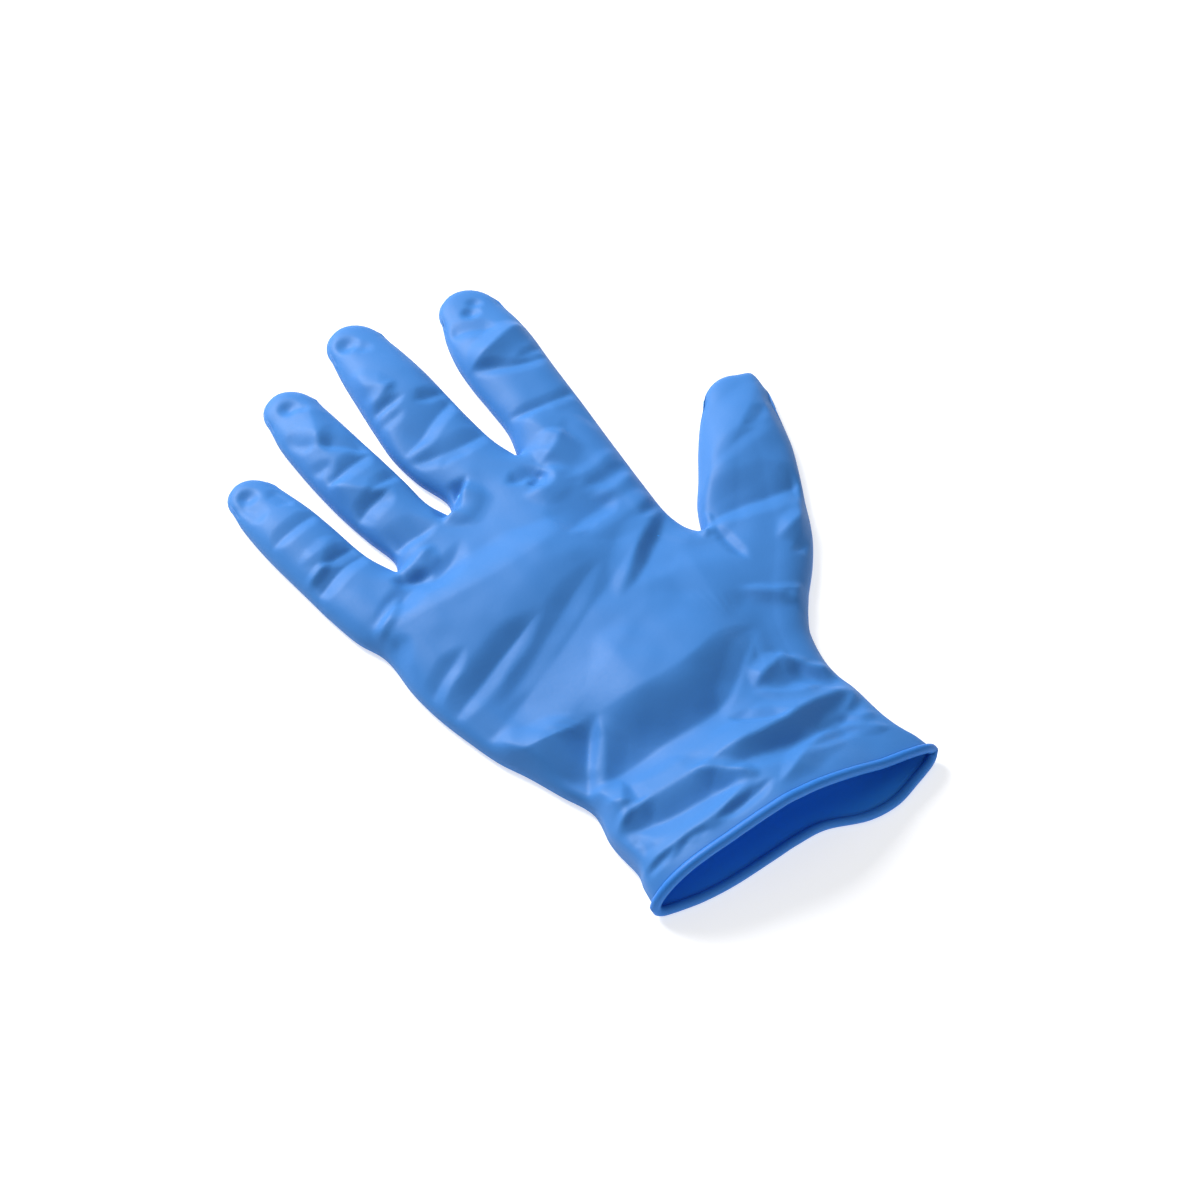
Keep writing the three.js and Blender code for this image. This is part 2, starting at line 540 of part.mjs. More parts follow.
// Upper and lower film vertices, which share the edge nodes
const outer = [];
const upper = [];
const lower = [];
for (const node of nodes) {
  const distance = node.isEdge ? 0 : edgeDistance(node);
  const nearRim = 1 - smoothstep(node.y / MOUTH_REACH);
  const swing = RIM_SWING * readTable(RIM, 'across', 'forward', node.x / cuff.half) * nearRim;
  upper.push(outer.length);
  if (node.isEdge) {
    const rimSide = Math.max(MOUTH_HEIGHT * RIM[0].rise, EDGE_HEIGHT / 2) + BEAD_RADIUS;
    lower.push(outer.length);
    outer.push(new THREE.Vector3(node.x, node.y, mix(EDGE_HEIGHT / 2, rimSide, nearRim)));
  } else {
    lower.push(outer.length + 1);
    outer.push(new THREE.Vector3(node.x, node.y, upperHeight(node, distance)));
    outer.push(new THREE.Vector3(node.x, node.y - swing, lowerHeight(node, distance)));
  }
}

const triangles = [];
function addTriangle(a, b, c) {
  triangles.push([a, b, c]);
}

// Two triangles for a cell, split so that no diagonal joins two edge nodes
function addCell(map, a, b, c, d, isUpper) {
  const count = [a, b, c, d].filter((id) => nodes[id].isEdge).length;
  const acJoinsEdges = nodes[a].isEdge && nodes[c].isEdge;
  const bdJoinsEdges = nodes[b].isEdge && nodes[d].isEdge;
  const acShorter = outer[map[a]].distanceTo(outer[map[c]]) <= outer[map[b]].distanceTo(outer[map[d]]);
  const useAc = count >= 2 && acJoinsEdges !== bdJoinsEdges ? bdJoinsEdges : acShorter;
  const halves = useAc ? [[a, b, c], [a, c, d]] : [[a, b, d], [b, c, d]];
  for (const [p, q, r] of halves) {
    if (isUpper) addTriangle(map[p], map[q], map[r]);
    else addTriangle(map[r], map[q], map[p]);
  }
}

for (const patch of patches) {
  for (let row = 1; row < patch.length; row++) {
    for (let column = 1; column < patch[row].length; column++) {
      const near = patch[row - 1];
      const far = patch[row];
      const cell = [near[column - 1], near[column], far[column], far[column - 1]];
      addCell(upper, ...cell, true);
      addCell(lower, ...cell, false);
    }
  }
}

// Outward normals, weighted by the area of the faces
const normals = outer.map(() => new THREE.Vector3());
for (const [a, b, c] of triangles) {
  const ab = outer[b].clone().sub(outer[a]);
  const ac = outer[c].clone().sub(outer[a]);
  const cross = ab.cross(ac);
  for (const id of [a, b, c]) normals[id].add(cross);
}
for (const normal of normals) normal.normalize();

// The inner film follows the outer one at the wall's thickness
const vertices = [...outer];
const innerStart = vertices.length;
outer.forEach((point, id) => vertices.push(point.clone().addScaledVector(normals[id], -WALL)));
for (const [a, b, c] of [...triangles]) addTriangle(c + innerStart, b + innerStart, a + innerStart);

// The rolled bead joins the outer and the inner film round the mouth
const rimLoop = palm[0].map((node, column) => ({ id: upper[node], behind: upper[palm[1][column]] }));
for (let column = palmColumns - 1; column > 0; column--) {
  rimLoop.push({ id: lower[palm[0][column]], behind: lower[palm[1][column]] });
}
const beadRise = BEAD_RADIUS - WALL;
const beadLead = Math.sqrt(BEAD_RADIUS ** 2 - beadRise ** 2);
const beadRings = rimLoop.map(({ id, behind }) => {
  const out = normals[id];
  const ahead = outer[id].clone().sub(outer[behind]);
  ahead.addScaledVector(out, -ahead.dot(out)).normalize();
  const centre = outer[id].clone().addScaledVector(ahead, beadLead).addScaledVector(out, beadRise);
  const ring = [id];
  for (const degrees of BEAD_ANGLES) {
    const angle = THREE.MathUtils.degToRad(degrees);
    const point = centre.clone().addScaledVector(ahead, BEAD_RADIUS * Math.cos(angle));
    point.addScaledVector(out, BEAD_RADIUS * Math.sin(angle));
    ring.push(vertices.length);
    vertices.push(point);
  }
  ring.push(id + innerStart);
  return ring;
});
beadRings.forEach((ring, index) => {
  const next = beadRings[(index + 1) % beadRings.length];
  for (let step = 1; step < ring.length; step++) {
    addTriangle(ring[step - 1], ring[step], next[step]);
    addTriangle(ring[step - 1], next[step], next[step - 1]);
  }
});

// One closed body, standing on the table with its middle over the origin
const geometry = new THREE.BufferGeometry();
const positions = vertices.flatMap((vertex) => [vertex.x, vertex.y, vertex.z]);
geometry.setAttribute('position', new THREE.Float32BufferAttribute(positions, 3));
geometry.setIndex(triangles.flat());
geometry.computeBoundingBox();
const box = geometry.boundingBox;
geometry.translate(-(box.min.x + box.max.x) / 2, -(box.min.y + box.max.y) / 2, -box.min.z);
geometry.computeVertexNormals();

const nitrile = new THREE.MeshStandardMaterial({ color: 0x4b87d3, roughness: 0.42, metalness: 0 });
const glove = new THREE.Mesh(geometry, nitrile);
glove.name = 'glove';

const group = new THREE.Group();
group.add(glove);

export default group;
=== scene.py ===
# A nitrile exam glove lying flat: its film and rolled bead, with a floor, lights and a camera

import math

import bpy
import numpy as np
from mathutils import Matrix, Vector


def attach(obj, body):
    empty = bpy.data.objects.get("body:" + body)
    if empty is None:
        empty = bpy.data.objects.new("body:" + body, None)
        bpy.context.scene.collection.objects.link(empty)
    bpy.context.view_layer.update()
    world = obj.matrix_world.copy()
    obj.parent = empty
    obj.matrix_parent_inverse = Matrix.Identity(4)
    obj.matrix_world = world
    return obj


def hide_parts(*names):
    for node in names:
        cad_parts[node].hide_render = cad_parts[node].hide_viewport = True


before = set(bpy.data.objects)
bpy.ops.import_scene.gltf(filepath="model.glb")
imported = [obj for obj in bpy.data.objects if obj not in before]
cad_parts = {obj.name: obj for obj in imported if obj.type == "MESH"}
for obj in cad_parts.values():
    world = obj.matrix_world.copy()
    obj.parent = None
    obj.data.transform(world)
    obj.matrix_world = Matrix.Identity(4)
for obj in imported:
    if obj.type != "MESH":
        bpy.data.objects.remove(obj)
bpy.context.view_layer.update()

# Sizes in mm, in the plan of the hand: X across towards the thumb, Y from the cuff line to the fingertips
MM = 0.001
FILM = 0.45
CUFF_WIDTH = 97.0
WRIST_WIDTH = 90.0
PALM_LENGTH = 150.0
KNUCKLE_SHIFT = 14.4
KNUCKLE_WIDTH = 110.0

# Place in the plan of the part frame's origin
FRAME_ORIGIN = (10.7175, 117.0907)

# Heights of the film, how far in from the side edge its round side and the palm's crown reach, and the
# least gap between the upper and the lower film
EDGE_HEIGHT = 3.2
FINGER_HEIGHT = 8.6
SIDE_ROUNDING = 11.0
PALM_RISE = 6.5
PALM_CROWN_REACH = 40.0
LEAST_HOLLOW = 1.2

# Share of the crown's reach that it has already run where the round side ends
CROWN_START = 0.15

# The open mouth: height of the upper film, and how far along the hand it shows
MOUTH_HEIGHT = 21.0
MOUTH_REACH = 45.0

# Its rim: swing of the lower film past the cuff line, and set-back of both films from that line
RIM_SWING = 7.0
RIM_SETBACK = 2.6
SETBACK_REACH = 14.0

# The two ends of the rim: height, how far in from the side edge the lower film is lifted, and how far
# along the hand the ends and the lift over the bead show
RIM_END_HEIGHT = 4.2
RIM_END_REACH = 4.5
RIM_END_LENGTH = MOUTH_REACH / 2
BEAD_LIFT_LENGTH = MOUTH_REACH / 3

# The rolled bead, whose middle lies past the rim by a share of its radius
BEAD_RADIUS = 1.5
BEAD_SEAT = 0.8
BEAD_SIDES = 14

# Folds fade out near the side edge, and over a share of their length at each end, where a share of their
# reach is left. A crease is rounded by a small radius and falls away by a power. Paths are read in steps.
FOLD_EDGE_REACH = 4.0
FOLD_TAPER = 0.32
LEAST_WIDTH = 0.3
CREASE_RADIUS = 0.25
FOLD_POWER = 1.5
FOLD_STEP = 1.5

# Slight waves all over the upper film: size, height and seed
WAVES = [(16.0, 0.25, 3), (6.0, 0.14, 8)]

# Cells that the waves' noise has each way before it repeats, and an offset that keeps all places above zero
WAVE_CELLS = 96
WAVE_OFFSET = 40.0

# Mesh cells, whose columns crowd towards the sides by a share
FINGER_COLUMNS = 36
FINGER_ROWS = 104
THUMB_COLUMNS = 52
THUMB_ROWS = 96
WRIST_ROWS = 84
WEB_ROWS = 60
EDGE_CROWDING = 0.6

# Steps that the side edge is read in, and the least distance to one
EDGE_STEP = 2.0
LEAST_DISTANCE = 0.05

# Share of a finger's length that its first section keeps from the start of its side
SECTION_ROOM = 0.05

# The nodes of a fingertip are evened out from one share of the rows, and fully from another
SMOOTH_ROUNDS = 120
SMOOTH_START = 0.5
SMOOTH_FULL = 0.75

# Middle and half width that a side row is measured from
CUFF = (0.0, CUFF_WIDTH / 2)
WRIST = (0.0, WRIST_WIDTH / 2)
KNUCKLE = (-KNUCKLE_SHIFT, KNUCKLE_WIDTH / 2)

# Side edges: share of PALM_LENGTH, share of the half width, and which half width
LITTLE_SIDE = [
    (0.0, -0.985, CUFF), (0.05, -0.96, CUFF), (0.09, -1.0, WRIST), (0.175, -1.005, WRIST),
    (0.25, -0.965, WRIST), (0.32, -1.055, WRIST), (0.39, -0.675, KNUCKLE), (0.45, -0.75, KNUCKLE),
    (0.52, -0.805, KNUCKLE), (0.6, -0.855, KNUCKLE), (0.68, -0.88, KNUCKLE), (0.785, -0.88, KNUCKLE),
    (0.85, -0.945, KNUCKLE),
]
WRIST_SIDE = [
    (0.0, 0.99, CUFF), (0.033, 0.955, CUFF), (0.067, 0.99, WRIST), (0.113, 0.962, WRIST),
    (0.213, 0.964, WRIST), (0.247, 0.947, WRIST), (0.3, 0.953, WRIST), (0.373, 1.02, WRIST),
    (0.413, 1.1, WRIST),
]
INDEX_SIDE = [(0.73, 0.973, KNUCKLE), (0.78, 0.945, KNUCKLE), (0.88, 0.96, KNUCKLE), (0.945, 0.976, KNUCKLE)]

# Fingers: width, length, lean in degrees, root as a share of PALM_LENGTH, set-back of the next crotch,
# then sections of (share of the length, left and right as shares of half the width)
FINGERS = {
    "little": (26.0, 60.0, -7.0, 0.953, 0.018, [
        (0.0, 0.97, 0.9), (0.15, 0.96, 0.815), (0.45, 0.945, 0.755), (0.6, 0.905, 0.72),
        (0.75, 0.825, 0.635), (0.84, 0.725, 0.535)]),
    "ring": (26.2, 80.6, -2.8, 0.99, 0.003, [
        (0.0, 0.835, 0.8), (0.15, 0.96, 0.775), (0.3, 1.05, 0.745), (0.45, 1.08, 0.7),
        (0.6, 1.065, 0.64), (0.75, 1.005, 0.59), (0.86, 0.86, 0.545)]),
    "middle": (29.0, 84.3, -0.4, 1.06, -0.015, [
        (0.0, 0.875, 0.92), (0.15, 1.085, 0.9), (0.3, 1.165, 0.825), (0.45, 1.09, 0.8),
        (0.6, 0.98, 0.775), (0.75, 0.86, 0.7), (0.86, 0.73, 0.615)]),
    "index": (28.8, 76.3, 7.1, 1.072, 0.0, [
        (0.0, 0.8, 1.03), (0.15, 0.825, 1.015), (0.3, 0.87, 0.985), (0.45, 0.94, 0.96),
        (0.6, 0.95, 0.95), (0.75, 0.84, 0.865), (0.84, 0.7, 0.75)]),
    "thumb": (32.0, 80.4, 31.3, 0.575, 0.0, [
        (0.0, 1.0, 1.095), (0.15, 0.99, 1.16), (0.3, 0.975, 1.105), (0.45, 0.905, 1.065),
        (0.6, 0.855, 0.985), (0.75, 0.76, 0.805), (0.84, 0.655, 0.685)]),
}
THUMB_ACROSS = 1.125
THUMB_WEB = (0.167, -0.93)
THUMB_HEEL = (-0.144, 0.952)

# Rim of the mouth: place as a share of half the cuff's width, height of the upper film as a share of
# MOUTH_HEIGHT, reach of the lower film past the cuff line as a share of RIM_SWING
RIM = [
    (-1.0, 0.2, 0.0), (-0.94, 0.44, 0.1), (-0.85, 0.62, 0.25), (-0.7, 0.76, 0.42), (-0.5, 0.86, 0.48),
    (-0.2, 0.97, 0.36), (-0.05, 1.0, 0.29), (0.15, 0.92, 0.34), (0.4, 0.74, 0.95), (0.6, 0.57, 1.0),
    (0.8, 0.45, 0.58), (0.93, 0.34, 0.25), (1.0, 0.2, 0.0),
]

# How far a fold 1 mm high looks to be moved in the plan, from the camera's side
LOOK_SHIFT = np.array([0.47, 0.7])

# Folds of the upper film: path as it looks on the smooth film, height (below zero for a valley), reach to
# the left and to the right of the path, and sharpness from 0 for a soft wave to 1 for a crease
WRIST_FOLDS = [
    ([(-62, 74), (-54, 69), (-48, 65), (-40, 63.5), (-28, 61.5)], 2.8, 9, 16, 0.9),
    ([(-32, 62), (-20, 61), (-8, 61), (6, 62), (18, 65.5), (26, 65), (34, 61)], 3.2, 26, 20, 0.55),
    ([(-26, 62), (-32, 57), (-37, 50), (-44, 40)], -2.4, 5, 14, 0.6),
    ([(-25, 61), (-30, 54), (-35, 48), (-40, 42)], 1.0, 8, 3.5, 0.6),
    ([(-46, 40.5), (-20, 40), (-5, 39.5), (5, 42), (12, 47), (20, 54), (30, 62)], -2.9, 16, 10, 0.6),
    ([(0, 36), (10, 43), (18, 50), (25, 56), (33, 62)], 1.2, 7, 8, 0.5),
    ([(14.5, 42), (21, 47), (27, 49), (33, 51)], 2.2, 5, 8, 0.9),
    ([(29, 51.5), (34, 46), (38, 42), (44, 40.5)], 1.8, 3.5, 7, 0.9),
    ([(32, 50), (31, 43), (36, 35), (41, 30)], -1.4, 8, 5, 0.7),
    ([(13, 42), (20, 39), (27, 36.5), (35, 36)], 1.1, 5, 4, 0.85),
    ([(1, 37.5), (6, 33.5), (12, 31), (21, 30.5)], -1.4, 4.5, 3, 0.85),
    ([(-46, 42), (-40, 36.5), (-33, 29.5)], 3.2, 10, 9, 0.9),
    ([(-48, 23), (-41, 27.5), (-36, 28.5), (-29, 28.5)], 1.6, 2.5, 6, 0.85),
    ([(-38, 29), (-27, 28), (-18, 27.5), (-10, 27)], 1.9, 11, 9, 0.6),
    ([(-49, 26), (-39, 20), (-30, 17), (-18, 15.5), (-4, 13)], -2.2, 9, 7, 0.75),
    ([(-18, 28.5), (-11, 23), (-6, 16), (-5.5, 11.5)], 2.2, 4.5, 5.5, 0.9),
    ([(-21, 27), (-6, 28), (6, 28), (14, 28.5), (22, 30.5), (32, 31.5), (50, 28)], 3.6, 11, 9, 0.9),
    ([(-14, 21), (0, 18.5), (12, 18), (22, 19.5), (32, 23.5), (46, 31)], -2.3, 8, 8, 0.75),
    ([(20, 20), (33, 23.5), (44, 30)], 1.1, 2.5, 3, 0.8),
    ([(-45, 19), (-42, 16.5), (-43, 12)], -0.8, 3, 3, 0.7),
    ([(-50, 11.5), (-40, 9.5), (-30, 9.5), (-21, 9.5), (-10, 13), (-3, 15)], 1.3, 5.5, 5, 0.7),
    ([(-48, 7), (-42, 6.5), (-36, 7.5)], -0.9, 2.5, 3, 0.7),
    ([(-37, 4), (-31, 7), (-25, 4)], -0.5, 2.5, 2.5, 0.6),
    ([(-24, 6.5), (-12, 6), (-2, 9)], -1.0, 3.5, 4, 0.6),
    ([(-4, 4), (4, 9), (11, 13.5), (19, 17), (30, 20.5)], 1.7, 5, 8, 0.8),
    ([(10, 14.5), (20, 14.5), (30, 15.5), (38, 13.5)], -0.7, 2.5, 3, 0.8),
    ([(26, 20.5), (33, 16), (42, 11.5)], 0.8, 3.5, 3.5, 0.9),
    ([(31, 23), (36, 19.5), (42, 19.5)], 0.6, 3, 3, 0.8),
]
PALM_FOLDS = [
    ([(-72, 122), (-45, 121.5), (-30, 120.5), (-14, 121), (0, 123), (14, 128)], 3.4, 15, 44, 0.3),
    ([(-63, 126), (-50, 129), (-44, 131), (-37, 130.5), (-30, 133), (-22, 140)], -1.7, 6, 7, 0.7),
    ([(-66, 121), (-57, 125.5), (-49, 131.5)], 1.2, 3.5, 3, 0.85),
    ([(-49, 138), (-44, 133.5), (-36, 133)], -1.4, 5, 3.5, 0.7),
    ([(-46, 139), (-40, 140.5), (-30, 143)], 1.4, 4, 7, 0.75),
    ([(-68, 109), (-61, 113), (-58, 121)], -1.5, 5, 5, 0.7),
    ([(-68, 92), (-54, 98), (-43, 104)], -1.1, 5, 4, 0.7),
    ([(-66, 83), (-50, 88), (-38, 93), (-18, 101)], -1.5, 7, 5, 0.7),
    ([(-66, 69), (-50, 74), (-40, 77.5), (-22, 85), (-10, 91), (2, 97), (12, 104), (22, 111)],
     -2.3, 22, 15, 0.65),
    ([(-50, 79), (-34, 85), (-18, 94), (-4, 102), (8, 108)], -0.8, 6, 5, 0.6),
    ([(0, 90), (8, 97), (14, 102.5), (22, 110), (36, 119)], 1.3, 7, 4, 0.6),
    ([(6, 91), (19, 100.5), (30, 110), (40, 120)], -1.3, 5, 9, 0.7),
    ([(31, 100), (27.5, 85), (25.5, 68)], 0.9, 12, 9, 0.5),
    ([(33, 77), (40, 73), (50, 66)], 0.6, 3, 5, 0.8),
    ([(44, 67), (49, 66.5), (58, 68)], 0.8, 4, 5, 0.8),
    ([(2, 121), (10, 124), (18, 126), (28, 130)], -1.8, 12, 6, 0.5),
    ([(6, 116), (22, 120), (42, 127)], 0.9, 6, 7, 0.5),
    ([(17, 131), (28, 131.5), (40, 137)], 0.6, 3.5, 4, 0.7),
    ([(16, 136), (28, 136), (40, 141)], -0.7, 3.5, 4, 0.7),
    ([(15, 142), (26, 142), (40, 147)], 0.6, 4, 4, 0.7),
    ([(26, 117), (34, 120), (40, 126)], -0.7, 3, 3, 0.7),
    ([(38, 99), (42.5, 105), (45.5, 113)], 1.6, 4, 3.5, 0.8),
    ([(44.5, 103), (43, 94), (43.5, 84)], -1.0, 3, 3, 0.6),
    ([(-24, 148), (-16, 153), (-7, 159.5)], 2.6, 2.5, 10, 0.9),
    ([(-24, 151), (-16, 155), (-7, 161.5)], -2.4, 6, 2, 0.8),
    ([(13, 152), (21, 156), (29, 161.5)], 2.1, 8, 9, 0.9),
    ([(0, 151), (6, 149), (13.5, 151.5)], -1.5, 5, 3, 0.7),
    ([(5, 145.5), (9, 146), (13, 150.5)], -1.9, 3, 3, 0.7),
    ([(1, 143), (9, 142), (15, 145), (16, 153)], 1.5, 4, 7, 0.6),
]
FINGER_FOLDS = [
    ([(-72, 193), (-68, 187), (-68, 180)], -0.7, 4, 4, 0.5),
    ([(-60, 193), (-58.5, 187.5), (-57, 181)], -0.7, 4, 4, 0.5),
    ([(-73, 170), (-64, 171.2), (-58, 173), (-50, 176)], -1.1, 4.5, 4, 0.8),
    ([(-68, 159), (-60, 160), (-52, 164)], 0.6, 4, 4, 0.6),
    ([(-63, 154.5), (-54, 155.5), (-44, 160)], -1.2, 4, 3.5, 0.85),
    ([(-74, 152), (-66, 153), (-59, 154.5)], 0.8, 2.5, 2.5, 0.85),
    ([(-74, 145), (-64, 147.5), (-57, 150.3), (-43, 155)], -1.6, 6, 5, 0.85),
    ([(-30, 220), (-34, 208), (-39, 194)], 1.1, 7, 7, 0.6),
    ([(-48, 208), (-43, 202), (-38, 197)], -0.9, 5, 4, 0.6),
    ([(-40, 198.5), (-34, 194), (-24, 187)], -1.7, 10, 4, 0.85),
    ([(-49, 192), (-42, 188.5), (-37, 190)], -0.9, 4, 4, 0.7),
    ([(-46, 182), (-40, 183), (-33, 184.5), (-24, 187.5)], -1.6, 5, 5, 0.9),
    ([(-46, 185), (-37, 176), (-27, 167.5)], 1.4, 6, 6, 0.9),
    ([(-36, 172.5), (-30, 173.5), (-20, 177)], -1.0, 4, 3, 0.85),
    ([(-48, 164), (-39, 166.5), (-27, 170.5)], -1.6, 5, 6, 0.9),
    ([(-48, 150), (-38, 148.5), (-24, 149.5)], -1.8, 9, 4, 0.8),
    ([(-18, 222), (-12, 212), (-4, 206)], 1.0, 7, 5, 0.7),
    ([(-22, 206.5), (-12, 205.5), (-4, 209)], 0.9, 4, 3.5, 0.8),
    ([(-22, 200), (-12, 200), (-4, 201.5)], -0.9, 3, 2.5, 0.8),
    ([(-22, 195.5), (-14, 194.5), (-8, 196)], -0.6, 3, 3, 0.8),
    ([(-5, 197), (3, 196), (13, 199)], -1.0, 5, 3, 0.8),
    ([(-21, 180), (-12, 181.5), (-4, 186), (4, 190.5), (13, 197)], -2.2, 13, 5, 0.85),
    ([(-22, 179), (-14, 174), (-7, 172.5), (1, 172.5), (8, 175), (13, 179)], -1.5, 6, 5, 0.9),
    ([(-12, 168), (-8, 170), (1, 169)], -0.4, 3, 3, 0.6),
    ([(18, 219), (26, 216), (38, 210)], -1.1, 5, 5, 0.7),
    ([(16, 200.5), (28, 204), (38, 207.5), (48, 209)], 2.0, 7, 7, 0.9),
    ([(17, 202), (23, 196.5), (30, 192.3), (38, 191.5), (46, 193)], -1.2, 3.5, 4.5, 0.9),
    ([(32, 195.5), (40, 195.5), (48, 200.5)], -0.8, 3, 3, 0.85),
    ([(14, 179), (20, 174.5), (30, 173), (38, 173.5), (48, 180)], -0.9, 3.5, 3.5, 0.9),
    ([(19, 175), (23, 166), (27, 157)], 1.2, 9, 8, 0.7),
    ([(32, 174), (36, 164), (44, 156)], -0.7, 6, 5, 0.6),
    ([(42, 111), (54, 120), (66, 126), (78, 134), (96, 150)], 1.7, 11, 14, 0.45),
    ([(40, 106), (54, 103.5), (64, 102), (74, 102.5), (86, 109)], -2.5, 13, 7, 0.8),
    ([(56, 122), (69, 126.5), (86, 129)], -0.6, 4, 4, 0.7),
    ([(74, 131), (80, 131), (88, 137)], -0.7, 4, 3, 0.7),
    ([(55, 87), (64, 90.5), (72, 94), (82, 101)], 1.8, 5, 8, 0.9),
    ([(56, 80.5), (64, 82), (72, 88)], -0.8, 3, 3, 0.8),
    ([(34, 78), (46, 71), (60, 67)], 0.8, 3, 5, 0.7),
]

# Dimples left at the fingertips by the former: middle, radius and depth
DIMPLES = [
    ((-66.0, 193.5), 4.5, 1.5), ((-37.0, 218.5), 4.5, 1.4), ((-33.5, 215.5), 3.0, 0.5),
    ((-7.5, 232.5), 5.0, 1.5), ((-4.0, 228.0), 4.0, 0.6),
    ((33.0, 222.5), 4.0, 1.3), ((36.5, 226.0), 3.5, 0.9),
]

# The film lies lower towards the fingertips: middle of each tip, reach, and share taken off the height
TIPS = [(-66, 199), (-38, 225), (-6, 240), (34, 231), (88, 150)]
TIP_REACH = 30.0
TIP_LOWERING = 0.38

# Places where the edge of the film sticks out: middle, reach and push
CORNERS = [((93.5, 150.5), 6.0, (1.4, 1.9))]


def smoothstep(t):
    """0 below 0, 1 above 1, and smooth between."""
    t = np.clip(t, 0.0, 1.0)
    return t * t * (3.0 - 2.0 * t)


def mix(a, b, t):
    """The value at share t between a and b."""
    return a + (b - a) * t


def read_rows(rows, column, at):
    """One column of a table at places between its rows, on a smooth curve."""
    places = np.array([row[0] for row in rows])
    values = np.array([row[column] for row in rows])
    at = np.clip(at, places[0], places[-1])
    low = np.clip(np.searchsorted(places, at, side="right") - 1, 0, len(rows) - 2)
    before = np.maximum(low - 1, 0)
    after = np.minimum(low + 2, len(rows) - 1)
    span = places[low + 1] - places[low]
    low_slope = span * (values[low + 1] - values[before]) / (places[low + 1] - places[before])
    high_slope = span * (values[after] - values[low]) / (places[after] - places[low])
    t = (at - places[low]) / span
    low_part = values[low] * (2 * t**3 - 3 * t**2 + 1) + low_slope * (t**3 - 2 * t**2 + t)
    high_part = values[low + 1] * (3 * t**2 - 2 * t**3) + high_slope * (t**3 - t**2)
    return low_part + high_part


def smooth_curve(points, steps=24):
    """A centripetal curve through points of the plan, as many short steps."""
    p = [np.array(point, float) for point in points]
    p = [2 * p[0] - p[1]] + p + [2 * p[-1] - p[-2]]
    pieces = []
    for p0, p1, p2, p3 in zip(p, p[1:], p[2:], p[3:]):
        t1 = np.linalg.norm(p1 - p0) ** 0.5
        t2 = t1 + np.linalg.norm(p2 - p1) ** 0.5
        t3 = t2 + np.linalg.norm(p3 - p2) ** 0.5
        t = (t1 + (t2 - t1) * np.arange(steps) / steps)[:, None]
        a1 = ((t1 - t) * p0 + t * p1) / t1
        a2 = ((t2 - t) * p1 + (t - t1) * p2) / (t2 - t1)
        a3 = ((t3 - t) * p2 + (t - t2) * p3) / (t3 - t2)
        b1 = ((t2 - t) * a1 + t * a2) / t2
        b2 = ((t3 - t) * a2 + (t - t1) * a3) / (t3 - t1)
        pieces.append(((t2 - t) * b1 + (t - t1) * b2) / (t2 - t1))
    pieces.append(p[-2][None, :])
    return np.vstack(pieces)


def lengths(line):
    """Length along a line at each of its points."""
    return np.concatenate([[0.0], np.cumsum(np.linalg.norm(np.diff(line, axis=0), axis=1))])


def resample(line, count):
    """The line as count even steps."""
    along = lengths(line)
    at = np.linspace(0.0, along[-1], count + 1)
    return np.stack([np.interp(at, along, line[:, axis]) for axis in range(2)], axis=1)


def side_points(rows):
    """Points of a side edge from its table."""
    return [(middle + across * half, along * PALM_LENGTH) for along, across, (middle, half) in rows]


def column_places(count):
    """Places from -1 to 1, closer together towards the ends."""
    even = np.linspace(-1.0, 1.0, count + 1)
    return mix(even, np.sin(even * math.pi / 2), EDGE_CROWDING)


class Finger:
    """A finger's middle line and sections in the plan."""

    def __init__(self, name, root_x):
        self.width, self.length, lean, self.along, self.web, self.sections = FINGERS[name]
        self.root = np.array([root_x, self.along * PALM_LENGTH])
        self.axis = np.array([math.sin(math.radians(lean)), math.cos(math.radians(lean))])
        self.cross = np.array([self.axis[1], -self.axis[0]])

    def point(self, along, across):
        """A place from its shares of the length and of half the width."""
        return self.root + along * self.length * self.axis + across * self.width / 2 * self.cross

    def side(self, start, sign, column):
        """The side edge from its start on the palm to the shoulder of the tip."""
        away = (start - self.root) @ self.axis
        rows = [row for row in self.sections if row[0] * self.length > away + SECTION_ROOM * self.length]
        return smooth_curve([start] + [self.point(row[0], sign * row[column]) for row in rows])


fingers = []
root_edge = KNUCKLE[0] - KNUCKLE[1]
for finger_name in ("little", "ring", "middle", "index"):
    finger_width = FINGERS[finger_name][0]
    fingers.append(Finger(finger_name, root_edge + finger_width / 2))
    root_edge += finger_width
thumb = Finger("thumb", KNUCKLE[0] + THUMB_ACROSS * KNUCKLE[1])

# Corners that neighbouring patches share
little_corner = fingers[0].point(0.0, -fingers[0].sections[0][1])
index_corner = fingers[-1].point(0.0, fingers[-1].sections[0][2])
thumb_web = thumb.point(*THUMB_WEB)
thumb_heel = thumb.point(*THUMB_HEEL)
root_corners = [little_corner]
for here, following in zip(fingers, fingers[1:]):
    crotch = (here.point(0.0, here.sections[0][2]) + following.point(0.0, -following.sections[0][1])) / 2
    crotch[1] -= here.web * PALM_LENGTH
    root_corners.append(crotch)
root_corners.append(index_corner)

# Nodes of the flat plan, in patches of rows and columns that share their borders
plan_points = []
plan_edges = []


def add_nodes(points, on_edge):
    """Adds nodes to the plan and gives their numbers."""
    first = sum(len(part) for part in plan_points)
    plan_points.append(np.asarray(points, float))
    plan_edges.append(np.asarray(on_edge, bool))
    return np.arange(first, first + len(points))


little_line = smooth_curve(side_points(LITTLE_SIDE) + [little_corner])
wrist_line = smooth_curve(side_points(WRIST_SIDE) + [thumb_heel])
index_line = smooth_curve([thumb_web] + side_points(INDEX_SIDE) + [index_corner])
heel_row = WRIST_ROWS
web_row = WRIST_ROWS + THUMB_COLUMNS
palm_columns = FINGER_COLUMNS * len(fingers)

